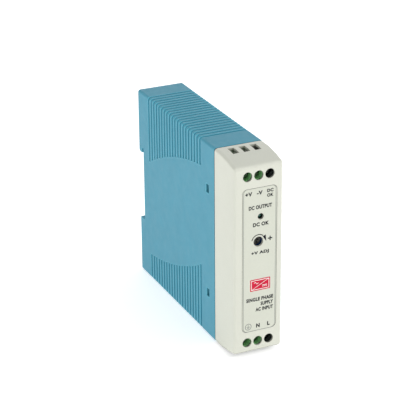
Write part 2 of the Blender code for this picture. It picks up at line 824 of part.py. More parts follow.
def make_status_led():
    """A lamp with a flange, a straight body and a round dome that reaches into its hole."""
    arc = [math.pi / 2 * step / 4 for step in range(5)]
    dome = [(LED_BODY * math.sin(a), LED_DOME_START + LED_BODY * math.cos(a)) for a in arc]
    profile = [*dome, (LED_BODY, 1.0), (LED_FLANGE, 1.0), (LED_FLANGE, 0.0), (0.0, 0.0)]
    led = turned("status_led", profile, (LED_X, LED_BASE, LED_Z), (0, -1, 0), 16)
    return finish(smooth(led), "led_green")


def make_led_holder():
    holder_z = (LED_Z - HOLDER_HALF, LED_Z + HOLDER_HALF)
    holder = box("led_holder", (MOUNT_X, LED_X + HOLDER_HALF), HOLDER_Y, holder_z)
    bevel(holder, 0.5, 2)
    groove = box("holder_groove", (-4.0, LED_X - 2.4), (-44.0, -42.4), (LED_Z - 0.6, LED_Z + 0.6))
    return finish(cut(holder, groove), "black_plastic")


def make_trimmer_body():
    low, high = TRIM_Z - TRIM_HALF, TRIM_Z + TRIM_HALF
    body = box("trimmer_body", (-TRIM_HALF, TRIM_HALF), TRIM_Y, (low, high))
    bevel(body, 0.3, 1)
    feet = [
        box("trimmer_foot", (MOUNT_X, -TRIM_HALF + 0.5), (-45.8, -44.2), (z, z + 1.6))
        for z in (low + 0.6, high - 2.2)
    ]
    add(body, *feet)
    face, seat = TRIM_Y[0] - 1, ROTOR_Y[1] + GAP
    recess = cylinder("trimmer_recess", (0, face, TRIM_Z), (0, seat, TRIM_Z), ROTOR_RADIUS + GAP)
    stem_end = ROTOR_Y[1] + ROTOR_STEM_LENGTH + GAP
    bore = cylinder("trimmer_bore", (0, seat - 1, TRIM_Z), (0, stem_end, TRIM_Z), ROTOR_STEM + 0.1)
    return finish(smooth(cut(body, recess, bore)), "trimmer_blue")


def make_trimmer_rotor():
    thickness = ROTOR_Y[1] - ROTOR_Y[0]
    profile = [
        (0.0, thickness),
        (ROTOR_RADIUS - 0.2, thickness),
        (ROTOR_RADIUS, thickness - 0.2),
        (ROTOR_RADIUS, 0.0),
        (ROTOR_STEM, 0.0),
        (ROTOR_STEM, -ROTOR_STEM_LENGTH),
        (0.0, -ROTOR_STEM_LENGTH),
    ]
    rotor = turned("trimmer_rotor", profile, (0, ROTOR_Y[1], TRIM_Z), (0, -1, 0), 20)
    deep = (ROTOR_Y[0] - 1, ROTOR_Y[0] + ROTOR_SLOT_DEPTH)
    narrow = (-ROTOR_SLOT_HALF, ROTOR_SLOT_HALF)
    long_slot = box("rotor_slot", narrow, deep, (TRIM_Z - 1.6, TRIM_Z + 1.6))
    cross_z = (TRIM_Z - ROTOR_SLOT_HALF, TRIM_Z + ROTOR_SLOT_HALF)
    cross_slot = box("rotor_cross", (-1.1, 1.1), deep, cross_z)
    return finish(smooth(cut(rotor, long_slot, cross_slot)), "rotor_dark")


# Components


def lead_down(start, middle_y=None):
    """Points of a lead from a component's end to the circuit board."""
    x, y, z = start
    if middle_y is None:
        return [(x, y, z), (MOUNT_X, y, z)]
    bend = 0.8
    way = bend if middle_y > y else -bend
    return [
        (x, y, z),
        (x, middle_y - way, z),
        (x - bend * 0.3, middle_y - way * 0.3, z),
        (x - bend, middle_y, z),
        (MOUNT_X, middle_y, z),
    ]


def with_leads(obj, paths):
    leads = [tube(obj.name + "_lead", path, LEAD_RADIUS) for path in paths]
    return add(obj, *leads)


def make_capacitor(name, radius, length, front, z):
    """An electrolytic capacitor lying along Y, with its leads at the front end."""
    x = MOUNT_X + radius
    profile = [
        (0.0, length - 0.15),
        (radius - 1.3, length - 0.15),
        (radius - 1.1, length),
        (radius - 0.4, length),
        (radius, length - 0.5),
        (radius, 3.2),
        (radius - 0.5, 2.5),
        (radius, 1.8),
        (radius, 0.5),
        (radius - 0.6, 0.0),
        (radius - 1.0, 0.5),
        (0.0, 0.5),
    ]
    can = turned(name, profile, (x, front, z), (0, 1, 0), 20)
    spread = radius * 0.4
    paths = [lead_down((x, front + 1.0, z + s), front - 1.6) for s in (-spread, spread)]
    return finish(smooth(with_leads(can, paths)), "capacitor_black")


def make_fuse():
    """A sleeved fuse standing on its two leads, along Z."""
    y, x, low, length = -17.0, -2.4, 6.5, 11.0
    profile = [
        (0.0, length),
        (1.9, length),
        (2.5, length - 0.6),
        (2.5, 0.6),
        (1.9, 0.0),
        (0.0, 0.0),
    ]
    fuse = turned("input_fuse", profile, (x, y, low), (0, 0, 1), 20)
    ends = (low - 1.2, low + length + 1.2)
    inner = (low + 0.5, low + length - 0.5)
    paths = [
        [(x, y, start), (x, y, end), (MOUNT_X, y, end)] for start, end in zip(inner, ends)
    ]
    return finish(smooth(with_leads(fuse, paths)), "fuse_sleeve")


def make_disc(name, y, z, radius, thickness, finish_name):
    """A dipped disc component standing on edge, with its flat sides facing along Y."""
    x = MOUNT_X + 1.2 + radius
    half = thickness / 2
    profile = [
        (0.0, half),
        (radius * 0.7, half),
        (radius * 0.93, half * 0.6),
        (radius, 0.0),
        (radius * 0.93, -half * 0.6),
        (radius * 0.7, -half),
        (0.0, -half),
    ]
    disc = turned(name, profile, (x, y, z), (0, 1, 0), 20)
    spread = radius * 0.55
    paths = [lead_down((x - radius * 0.6, y, z + s)) for s in (-spread, spread)]
    return finish(smooth(with_leads(disc, paths)), finish_name)


def make_x_capacitor():
    body = box("x_capacitor", (MOUNT_X, 6.0), (-6.0, 0.0), (5.0, 18.0))
    return finish(bevel(body, 0.5, 2), "film_yellow")


def ring_point(centre, radius, angle, x):
    return (x, centre[0] + radius * math.cos(angle), centre[1] + radius * math.sin(angle))


def make_choke():
    """A ring core lying flat on the board, with one winding on each half."""
    centre, low, high, inner, outer = (8.5, 10.6), -4.4, 0.6, 3.2, 6.2
    profile = [(outer, high), (outer, low), (inner, low), (inner, high), (outer, high)]
    profile = [(r, h - low) for r, h in profile]
    core = turned("choke_core", profile, (low, *centre), (1, 0, 0), 28)
    finish(smooth(core), "ferrite")
    wire, turns = 0.35, 6
    reach = wire + 0.3
    section = [
        (inner - reach, low - reach),
        (outer + reach, low - reach),
        (outer + reach, high + reach),
        (inner - reach, high + reach),
    ]
    for number, side in enumerate((-1, 1), start=1):
        points = []
        steps = turns * len(section)
        for step in range(steps + 1):
            radius, x = section[step % len(section)]
            share = step / steps - 0.5
            angle = side * math.pi / 2 + share * math.radians(110)
            points.append(ring_point(centre, radius, angle, x))
        winding = tube(f"choke_winding_{number}", points, wire)
        finish(winding, "copper_wire")


def make_chip(name, y, z, pins_each_side, finish_name="black_plastic"):
    """A dual in-line package whose pins reach down to the board on both sides."""
    pitch, half_body, height = 2.54, 3.2, 3.4
    half_length = pins_each_side * pitch / 2 - 0.1
    low = MOUNT_X + 0.3
    ys = (y - half_length, y + half_length)
    body = box(name, (low, low + height), ys, (z - half_body, z + half_body))
    bevel(body, 0.35, 1)
    pins = []
    for index in range(pins_each_side):
        pin_y = y + (index - (pins_each_side - 1) / 2) * pitch
        for side in (-1, 1):
            across = (z + side * (half_body - 0.5), z + side * (half_body + 0.8))
            down = (z + side * (half_body + 0.4), z + side * (half_body + 0.8))
            ys = (pin_y - 0.35, pin_y + 0.35)
            pins.append(box("pin_shoulder", (low + 1.4, low + 1.8), ys, across))
            pins.append(box("pin_leg", (MOUNT_X, low + 1.7), ys, down))
    dimple = cylinder("chip_dimple", (low + height + 1, ys[1], z), (low + height - 0.3, ys[1], z), 0.6)
    add(body, *pins)
    cut(body, dimple)
    return finish(body, finish_name)


def make_power_package(name, y, z):
    """A moulded power package on three legs, with its flat back facing -Z."""
    body_y = (y - PACKAGE_HALF, y + PACKAGE_HALF)
    body = box(name, (-3.6, SINK_END), body_y, (z, z + PACKAGE_THICKNESS))
    bevel(body, 0.4, 1)
    legs = [
        box("package_leg", (MOUNT_X, -3.0), (y + s - 0.4, y + s + 0.4), (z + 2.0, z + 2.6))
        for s in (-LEG_PITCH, 0.0, LEG_PITCH)
    ]
    notch = cylinder("package_notch", (5.5, y, z + 3.9), (5.5, y, z + 6), 1.6, 16)
    return finish(smooth(cut(add(body, *legs), notch)), "black_plastic")


def make_heatsink(name, y, z):
    """A folded plate with a turned-down flange at each end, whose top carries a package."""
    left, right = y - SINK_HALF, y + SINK_HALF
    outline = [
        (left, z - SINK_FOLD),
        (left + SINK_PLATE, z - SINK_FOLD),
        (left + SINK_PLATE, z - SINK_PLATE),
        (right - SINK_PLATE, z - SINK_PLATE),
        (right - SINK_PLATE, z - SINK_FOLD),
        (right, z - SINK_FOLD),
        (right, z),
        (left, z),
    ]
    sink = plate(name, outline, "X", (MOUNT_X, SINK_END))
    return finish(bevel(sink, 0.3, 1), "heatsink_aluminium")


def make_clip(name, y, z):
    """A flat spring clip that holds a package against its heatsink plate."""
    under, over = z - SINK_PLATE - GAP, z + GAP + PACKAGE_THICKNESS + GAP
    inner = SINK_END + GAP
    outer = inner + CLIP_THICKNESS
    outline = [
        (CLIP_TIP, under - CLIP_THICKNESS),
        (outer, under - CLIP_THICKNESS),
        (outer, over + CLIP_THICKNESS),
        (CLIP_TIP, over + CLIP_THICKNESS),
        (CLIP_TIP, over),
        (inner, over),
        (inner, under),
        (CLIP_TIP, under),
    ]
    return finish(plate(name, outline, "Y", (y - CLIP_HALF, y + CLIP_HALF)), "spring_steel")


def make_power_stage(package, heatsink, clip, y, z):
    make_heatsink(heatsink, y, z)
    make_power_package(package, y, z + GAP)
    make_clip(clip, y, z)


# Transformer


def make_core_half(name, flip):
    """An E-shaped ferrite half, whose three legs meet those of the other half."""
    left, right = CORE_Y
    middle_y = (left + right) / 2
    low = CORE_Z[0]
    top = sum(CORE_Z) / 2 - GAP / 2
    yoke = low + YOKE
    outline = [
        (left, low),
        (right, low),
        (right, top),
        (right - OUTER_LEG, top),
        (right - OUTER_LEG, yoke),
        (middle_y + CENTRE_LEG, yoke),
        (middle_y + CENTRE_LEG, top),
        (middle_y - CENTRE_LEG, top),
        (middle_y - CENTRE_LEG, yoke),
        (left + OUTER_LEG, yoke),
        (left + OUTER_LEG, top),
        (left, top),
    ]
    if flip:
        outline = [(y, sum(CORE_Z) - z) for y, z in outline]
    core = plate(name, outline, "X", CORE_X)
    return finish(bevel(core, 0.3, 1), "ferrite")


def make_bobbin():
    """A square tube round the centre leg with a flange at each end and pins to the board."""
    middle_y = sum(CORE_Y) / 2
    tube_x = (CORE_X[0] - BOBBIN_WALL, CORE_X[1] + BOBBIN_WALL)
    tube_y = CENTRE_LEG + BOBBIN_WALL
    low, high = CORE_Z[0] + YOKE + 0.4, CORE_Z[1] - YOKE - 0.4
    bobbin = box("transformer_bobbin", tube_x, (middle_y - tube_y, middle_y + tube_y), (low, high))
    flange_x = (MOUNT_X + 1.2, 8.2)
    flange_y = (middle_y - FLANGE_REACH, middle_y + FLANGE_REACH)
    flanges = [
        box("bobbin_flange", flange_x, flange_y, (z, z + FLANGE_THICKNESS))
        for z in (low, high - FLANGE_THICKNESS)
    ]
    pins = [
        box("bobbin_pin", (MOUNT_X, MOUNT_X + 1.6), (y - 0.4, y + 0.4), (z + 0.2, z + 0.8))
        for z in (low, high - FLANGE_THICKNESS)
        for y in (middle_y - 4.5, middle_y - 1.5, middle_y + 1.5, middle_y + 4.5)
    ]
    hole_y = (middle_y - CENTRE_LEG - GAP, middle_y + CENTRE_LEG + GAP)
    hole_x = (CORE_X[0] - GAP, CORE_X[1] + GAP)
    hole = box("bobbin_hole", hole_x, hole_y, (low - 1, high + 1))
    return finish(cut(add(bobbin, *flanges, *pins), hole), "bobbin_black")


def make_transformer_winding():
    middle_y = sum(CORE_Y) / 2
    outline = rounded_rectangle((-4.0, middle_y - 5.9), (7.6, middle_y + 5.9), 2.5, 4)
    inner = rounded_rectangle((-2.4, middle_y - 3.8), (5.6, middle_y + 3.8), 0.4, 1)
    low, high = CORE_Z[0] + YOKE + WINDING_INSET, CORE_Z[1] - YOKE - WINDING_INSET
    winding = plate("transformer_winding", outline, "Z", (low, high), [inner])
    return finish(smooth(winding), "winding_tape")


def make_transformer():
    make_core_half("transformer_core_lower", False)
    make_core_half("transformer_core_upper", True)
    make_bobbin()
    make_transformer_winding()


def make_output_inductor():
    """A drum core standing on the board, with a single-layer winding in its waist."""
    y, z, radius, waist, height = 23.0, 78.5, 4.6, 2.4, 11.0
    profile = [
        (0.0, height),
        (radius, height),
        (radius, height - 1.4),
        (waist, height - 1.4),
        (waist, 1.4),
        (radius, 1.4),
        (radius, 0.0),
        (0.0, 0.0),
    ]
    core = turned("output_inductor_core", profile, (MOUNT_X, y, z), (1, 0, 0), 24)
    finish(smooth(core), "ferrite")
    wire, per_turn = 0.5, 10
    run = height - 2 * (1.4 + wire + GAP)
    turns = int(run / (2 * wire + 0.2))
    points = []
    for step in range(turns * per_turn + 1):
        angle = 2 * math.pi * step / per_turn
        x = MOUNT_X + 1.4 + wire + GAP + run * step / (turns * per_turn)
        points.append(ring_point((y, z), waist + wire + 0.35, angle, x))
    finish(tube("output_inductor_winding", points, wire), "copper_wire")


def make_components():
    make_fuse()
    make_disc("inrush_thermistor", -10.5, 12.0, 4.5, 3.6, "thermistor_green")
    make_x_capacitor()
    make_choke()
    make_chip("bridge_rectifier", 26.0, 8.2, 2)
    make_capacitor("bulk_capacitor", 6.2, 21.0, 18.5, 21.0)
    make_disc("y_capacitor", -10.5, 30.0, 4.2, 3.4, "disc_blue")
    make_power_stage("switching_transistor", "transistor_heatsink", "transistor_clip", 27.0, 36.0)
    make_chip("controller_chip", 27.0, 49.5, 4)
    make_chip("optocoupler", -11.0, 45.0, 2)
    make_transformer()
    make_power_stage("output_diode", "diode_heatsink", "diode_clip", 18.0, 61.0)
    make_output_inductor()
    make_capacitor("output_capacitor_1", 5.0, 15.0, -17.5, 80.0)
    make_capacitor("output_capacitor_2", 5.0, 15.0, 2.0, 80.0)


def main():
    make_rear_case()
    make_din_latch()
    make_latch_spring()
    make_front_cover()
    make_front_label()
    make_terminals()
    make_main_board()
    make_insulation_sheet()
    make_status_led()
    make_led_holder()
    make_trimmer_body()
    make_trimmer_rotor()
    make_components()
    bpy.context.view_layer.update()


main()
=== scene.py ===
"""Looks for the rail-mounted power supply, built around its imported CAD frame.

The axes are the frame's own: X is the width, -Y is the front, +Z is up, and the bottom
lies on Z = 0. The frame, the camera, the stage and the finishes are in metres. The
modelled details and the prints are in millimetres, which MM turns into metres.
"""
import json
import math

import bmesh
import bpy
from mathutils import Matrix, Vector

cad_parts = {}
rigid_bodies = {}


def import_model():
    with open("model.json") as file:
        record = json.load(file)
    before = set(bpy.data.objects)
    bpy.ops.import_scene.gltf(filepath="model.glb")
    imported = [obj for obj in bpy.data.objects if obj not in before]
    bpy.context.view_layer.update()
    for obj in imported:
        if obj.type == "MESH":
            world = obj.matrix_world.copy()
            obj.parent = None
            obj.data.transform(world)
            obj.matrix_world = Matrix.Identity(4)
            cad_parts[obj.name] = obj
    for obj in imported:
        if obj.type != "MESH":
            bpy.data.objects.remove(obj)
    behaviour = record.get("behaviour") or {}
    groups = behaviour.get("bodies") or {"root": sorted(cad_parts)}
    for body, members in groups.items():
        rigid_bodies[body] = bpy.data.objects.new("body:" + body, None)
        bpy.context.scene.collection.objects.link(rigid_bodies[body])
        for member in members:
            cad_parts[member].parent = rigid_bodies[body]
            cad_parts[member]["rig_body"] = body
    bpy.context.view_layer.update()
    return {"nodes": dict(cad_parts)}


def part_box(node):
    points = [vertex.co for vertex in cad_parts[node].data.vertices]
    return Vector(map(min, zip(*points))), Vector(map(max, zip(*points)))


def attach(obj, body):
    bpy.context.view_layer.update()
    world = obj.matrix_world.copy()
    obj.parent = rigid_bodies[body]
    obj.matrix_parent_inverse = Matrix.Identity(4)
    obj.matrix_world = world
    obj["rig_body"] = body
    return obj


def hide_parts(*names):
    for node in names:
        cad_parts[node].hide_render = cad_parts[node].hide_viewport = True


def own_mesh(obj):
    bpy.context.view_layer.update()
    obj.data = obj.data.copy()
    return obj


MM = 0.001

# Camera
AZIMUTH = -24.642
ELEVATION = 23.344
ROLL = -0.493
CAMERA_PLACE = (-0.278106, -0.598520, 0.337495)
LENS = 147.13
SENSOR = 36.0

# Stage: the world's strength rises from the horizon to straight up
FLOOR_Z = -0.0002
FLOOR_HALF = 6.0
HORIZON = 0.42
ZENITH = 0.66
ZENITH_FROM = 0.7
LIGHT_AIM = (0, 0, 0.045)

# Planes where a colour changes: along X the terminal green turns dark past the last terminal pole; along Y
# the case's front rim is painted dark, a painted shadow of the seam
LAST_POLE_FROM = 0.00254
RIM_SHADOW_Y = -0.0308

# Prints on the label, in millimetres; the letter weight is a share of the letter height
PRINT_Y = -49.95
INK = 0.02
BADGE_INK = 0.015
LETTER_WEIGHT = 0.046

# Terminal screws and the trimmer's rotor, in millimetres
HEAD_THICKNESS = 1.8
HEAD_SLOT_DEPTH = 0.9
HEAD_CROWN = 0.28
SHANK = 1.25
THREAD_CREST = 1.33
THREAD_PITCH = 0.5
THREAD_MARGIN = 0.5
THREAD_SUNK = 0.04
TIP_CHAMFER = 0.4
SLOT_HALF = 0.35
CROSS_HALF = 1.1
ROTOR_SLOT_DEPTH = 0.7
ROTOR_SLOT_REACH = 1.6
ROTOR_DISC = 1.1
ROTOR_STEM = 1.0
ROTOR_CHAMFER = 0.22
CUT_EDGE = 0.05

# Status lamp, in millimetres
LAMP_LENS_INSET = 0.2
LAMP_FLANGE = 1.0
LAMP_SHOULDER = 0.93

# Latch spring, in millimetres; the steps are points per turn
SPRING_WIRE = 0.22
SPRING_TURNS = 9.0
SPRING_CLOSED = 1.0
SPRING_STEPS = 28

# Rounding of the sharp edges of each CAD shape that is refined, in millimetres
ROUNDING = {
    "rear_case": 0.22, "front_cover": 0.15, "front_label": 0.03, "din_latch": 0.12,
    "output_terminal_block": 0.08, "input_terminal_block": 0.08,
}

# Angles between neighbouring faces, in degrees
FLAT_UNDER = 0.3
SHARP_OVER = 28.0
SMOOTH_REFINED = 40.0
SMOOTH_MADE = 35.0
SMOOTH_SPRING = 60.0
CUT_SHARP_OVER = 35.0

# Vertices closer than this are welded, in metres
WELD = 1e-7
CAD_WELD = 1e-6

FRONT = Vector((0, -1, 0))

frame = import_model()
nodes = frame["nodes"]


def linear(colour):
    """A display colour of 0 to 255 as linear values, with alpha."""
    values = []
    for c in colour:
        s = c / 255
        values.append(s / 12.92 if s <= 0.04045 else ((s + 0.055) / 1.055) ** 2.4)
    return (*values, 1.0)


# --------------------------------------------------------------------- materials
class Finish:
    """One node material on a Principled shader, with the parts that finishes share."""

    def __init__(self, name):
        self.material = bpy.data.materials.new(name)
        self.material.use_nodes = True
        self.tree = self.material.node_tree
        self.surface = self.tree.nodes["Principled BSDF"]
        self.place = self.tree.nodes.new("ShaderNodeTexCoord").outputs["Object"]

    def node(self, kind, **settings):
        made = self.tree.nodes.new(kind)
        for key, value in settings.items():
            setattr(made, key, value)
        return made

    def join(self, source, target):
        self.tree.links.new(source, target)

    def feed(self, target, value):
        if isinstance(value, bpy.types.NodeSocket):
            self.join(value, target)
        else:
            target.default_value = value

    def stretched(self, stretch):
        scaled = self.node("ShaderNodeVectorMath", operation="MULTIPLY")
        self.join(self.place, scaled.inputs[0])
        scaled.inputs[1].default_value = stretch
        return scaled.outputs[0]

    def noise(self, size, detail=2.0, stretch=None):
        """Noise from 0 to 1 with features size across."""
        made = self.node("ShaderNodeTexNoise")
        self.join(self.stretched(stretch) if stretch else self.place, made.inputs["Vector"])
        made.inputs["Scale"].default_value = 1 / size
        made.inputs["Detail"].default_value = detail
        return made.outputs["Fac"]

    def cells(self, size, feature="F1"):
        made = self.node("ShaderNodeTexVoronoi", feature=feature)
        self.join(self.place, made.inputs["Vector"])
        made.inputs["Scale"].default_value = 1 / size
        return made.outputs["Distance"]

    def span(self, value, low, high, to_low=0.0, to_high=1.0):
        made = self.node("ShaderNodeMapRange")
        made.clamp = True
        self.join(value, made.inputs["Value"])
        made.inputs["From Min"].default_value = low
        made.inputs["From Max"].default_value = high
        made.inputs["To Min"].default_value = to_low
        made.inputs["To Max"].default_value = to_high
        return made.outputs["Result"]

    def sum(self, a, b, operation="ADD"):
        made = self.node("ShaderNodeMath", operation=operation)
        self.feed(made.inputs[0], a)
        self.feed(made.inputs[1], b)
        return made.outputs[0]

    def mix(self, share, a, b):
        made = self.node("ShaderNodeMix", data_type="RGBA")
        self.feed(made.inputs["Factor"], share)
        self.feed(made.inputs[6], a)
        self.feed(made.inputs[7], b)
        return made.outputs[2]

    def edges(self, radius):
        """1 on sharp outer and inner edges, 0 on flat faces."""
        rounded = self.node("ShaderNodeBevel", samples=4)
        rounded.inputs["Radius"].default_value = radius
        plain = self.node("ShaderNodeNewGeometry")
        dot = self.node("ShaderNodeVectorMath", operation="DOT_PRODUCT")
        self.join(rounded.outputs["Normal"], dot.inputs[0])
        self.join(plain.outputs["Normal"], dot.inputs[1])
        return self.span(dot.outputs["Value"], 0.999, 0.9)

    def hollows(self, distance):
        """1 in the open, towards 0 in grooves and corners."""
        made = self.node("ShaderNodeAmbientOcclusion", samples=4)
        made.inputs["Distance"].default_value = distance
        return made.outputs["AO"]

    def crests(self, distance):
        """1 on convex edges and narrow ridges, 0 on flat and hollow faces."""
        made = self.node("ShaderNodeAmbientOcclusion", samples=4, inside=True)
        made.inputs["Distance"].default_value = distance
        return self.span(made.outputs["AO"], 0.95, 0.55)

    def bump(self, height, depth, strength=1.0, under=None):
        made = self.node("ShaderNodeBump")
        made.inputs["Strength"].default_value = strength
        made.inputs["Distance"].default_value = depth
        self.join(height, made.inputs["Height"])
        if under is not None:
            self.join(under, made.inputs["Normal"])
        return made.outputs["Normal"]

    def set(self, **values):
        for key, value in values.items():
            self.feed(self.surface.inputs[key.replace("_", " ")], value)


def shade(colour, share):
    return tuple(min(255, c * share) for c in colour)


def plastic(name, colour, roughness=0.45, grain=0.00022, relief=0.000008, mottle=0.03,
            wear=0.12, hollow_shade=None, shade_share=0.75, reach=0.002, shaded=(0.35, 0.9), crest=None, coat=0.0,
            sheen=0.5):
    """Moulded plastic: cloudy colour, fine eroded texture, paler rubbed edges, painted shade in hollows and a
    painted highlight on crests.
    """
    f = Finish(name)
    cloud = f.noise(0.009, 3.0)
    body = f.mix(cloud, linear(shade(colour, 1 - mottle)), linear(shade(colour, 1 + mottle)))
    speck = f.span(f.noise(grain * 2.2, 1.0), 0.35, 0.65)
    body = f.mix(f.sum(speck, 0.1, "MULTIPLY"), body, linear(shade(colour, 0.9)))
    scuff = f.span(f.noise(0.0021, 4.0), 0.45, 0.75)
    edge = f.sum(f.sum(f.edges(0.00018), scuff, "MULTIPLY"), wear, "MULTIPLY")
    body = f.mix(edge, body, linear(shade(colour, 1.25)))
    # Painted shade: towards hollows, grooves, seams and holes the colour darkens, by ambient occlusion
    if hollow_shade is not None:
        depth = f.span(f.hollows(reach), *shaded, 1.0, 0.0)
        body = f.mix(f.sum(depth, shade_share, "MULTIPLY"), body, linear(hollow_shade))
    # Painted highlight: convex ridges and edges turn towards the crest colour, as if catching the light
    if crest is not None:
        body = f.mix(f.sum(f.crests(0.0006), 0.8, "MULTIPLY"), body, linear(crest))
    fine = f.noise(grain, 2.0)
    rough = f.span(f.noise(0.0032, 3.0), 0.3, 0.7, roughness - 0.05, roughness + 0.06)
    flow = f.bump(f.noise(0.012, 2.0), 0.00006, 0.25)
    f.set(Base_Color=body, Roughness=rough, Normal=f.bump(fine, relief, 0.7, flow), Coat_Weight=coat,
          Specular_IOR_Level=sheen)
    f.surface.inputs["Coat Roughness"].default_value = 0.15
    return f.material


def recoloured(material, axis, side, limit, colour):
    """The material with another colour past a plane across one axis, on its "over" or "under" side."""
    tree = material.node_tree
    surface = tree.nodes["Principled BSDF"]
    painted = surface.inputs["Base Color"].links[0].from_socket
    coordinate = next(n for n in tree.nodes if n.bl_idname == "ShaderNodeTexCoord")
    split = tree.nodes.new("ShaderNodeSeparateXYZ")
    tree.links.new(coordinate.outputs["Object"], split.inputs[0])
    past = tree.nodes.new("ShaderNodeMath")
    past.operation = "GREATER_THAN" if side == "over" else "LESS_THAN"
    past.inputs[1].default_value = limit
    tree.links.new(split.outputs[axis], past.inputs[0])
    mix = tree.nodes.new("ShaderNodeMix")
    mix.data_type = "RGBA"
    tree.links.new(past.outputs[0], mix.inputs["Factor"])
    tree.links.new(painted, mix.inputs[6])
    mix.inputs[7].default_value = linear(colour)
    tree.links.new(mix.outputs[2], surface.inputs["Base Color"])
    return material


def metal(name, colour, roughness=0.3, brush=(1.0, 1.0, 1.0), spots=0.1, tint=None):
    """Plated or bare metal: drawn streaks, cloudy plating and dull spots."""
    f = Finish(name)
    streak = f.noise(0.00025, 3.0, brush)
    cloud = f.noise(0.0016, 4.0)
    body = f.mix(cloud, linear(shade(colour, 0.86)), linear(colour))
    if tint:
        tinted = f.sum(f.span(f.noise(0.0009, 2.0), 0.45, 0.7), 0.5, "MULTIPLY")
        body = f.mix(tinted, body, linear(tint))
    dull = f.span(f.cells(0.0007), 0.1, 0.5, spots, 0.0)
    rough = f.sum(f.span(streak, 0.3, 0.7, roughness - 0.08, roughness + 0.1), dull)
    edge = f.sum(f.edges(0.0001), 0.35, "MULTIPLY")
    body = f.mix(edge, body, linear(shade(colour, 1.2)))
    f.set(Base_Color=body, Metallic=1.0, Roughness=rough, Normal=f.bump(streak, 0.000004, 0.6))
    return f.material


def resin(name, colour, deep):
    """Tinted clear resin, its tint varying at random between a light and a deep shade."""
    f = Finish(name)
    body = f.mix(f.noise(0.0011, 2.0), linear(colour), linear(deep))
    f.set(Base_Color=body, Roughness=f.span(f.noise(0.0006, 2.0), 0.3, 0.7, 0.1, 0.2),
          Transmission_Weight=0.35, Coat_Weight=0.6, Normal=f.bump(f.noise(0.0008, 1.0), 0.00001, 0.3))
    f.surface.inputs["IOR"].default_value = 1.5
    f.surface.inputs["Coat Roughness"].default_value = 0.05
    return f.material


def board(name):
    """Solder mask over copper: paler areas of copper with darker gaps between, and a fine glass weave."""
    f = Finish(name)
    copper = f.span(f.cells(0.0075, "DISTANCE_TO_EDGE"), 0.03, 0.06)
    body = f.mix(copper, linear((34, 88, 55)), linear((42, 104, 64)))
    weave = f.noise(0.0005, 2.0, (1.0, 1.0, 0.4))
    f.set(Base_Color=f.mix(f.sum(weave, 0.25, "MULTIPLY"), body, linear((60, 120, 70))),
          Roughness=f.span(f.noise(0.002, 2.0), 0.3, 0.7, 0.22, 0.36), Coat_Weight=0.4,
          Normal=f.bump(copper, 0.00003, 0.6))
    return f.material


def wound(name, colour, pitch, axis):
    """Turns of enamelled wire or tape, as fine ridges across one axis, with painted shade between the turns.
    """
    f = Finish(name)
    made = f.node("ShaderNodeTexWave", wave_type="BANDS", bands_direction=axis, wave_profile="SIN")
    f.join(f.place, made.inputs["Vector"])
    made.inputs["Scale"].default_value = 0.314 / pitch
    made.inputs["Distortion"].default_value = 0.3
    body = f.mix(made.outputs["Fac"], linear(shade(colour, 0.55)), linear(colour))
    body = f.mix(f.sum(f.noise(0.0012, 3.0), 0.3, "MULTIPLY"), body, linear(shade(colour, 0.8)))
    f.set(Base_Color=body, Roughness=f.span(f.noise(0.001, 2.0), 0.3, 0.7, 0.25, 0.42), Metallic=0.35,
          Coat_Weight=0.5, Normal=f.bump(made.outputs["Fac"], 0.00008, 0.9))
    return f.material


def stone(name, colour):
    """Sintered ferrite: matt and pitted, with chipped edges."""
    f = Finish(name)
    pits = f.span(f.cells(0.0005), 0.05, 0.25)
    body = f.mix(f.noise(0.001, 5.0), linear(shade(colour, 0.8)), linear(shade(colour, 1.2)))
    body = f.mix(f.sum(f.edges(0.00015), 0.5, "MULTIPLY"), body, linear(shade(colour, 1.8)))
    f.set(Base_Color=body, Roughness=0.62, Specular_IOR_Level=0.6,
          Normal=f.bump(f.sum(pits, f.noise(0.0002, 3.0)), 0.00002, 0.8))
    return f.material


def ink(name, colour):
    """Screen-printed ink: slightly uneven cover and a satin surface."""
    f = Finish(name)
    body = f.mix(f.span(f.noise(0.0006, 3.0), 0.35, 0.75), linear(colour), linear(shade(colour, 1.18)))
    rough = f.span(f.noise(0.0009, 2.0), 0.3, 0.7, 0.5, 0.62)
    f.set(Base_Color=body, Roughness=rough, Specular_IOR_Level=0.15,
          Normal=f.bump(f.noise(0.00016, 2.0), 0.000004, 0.5))
    return f.material


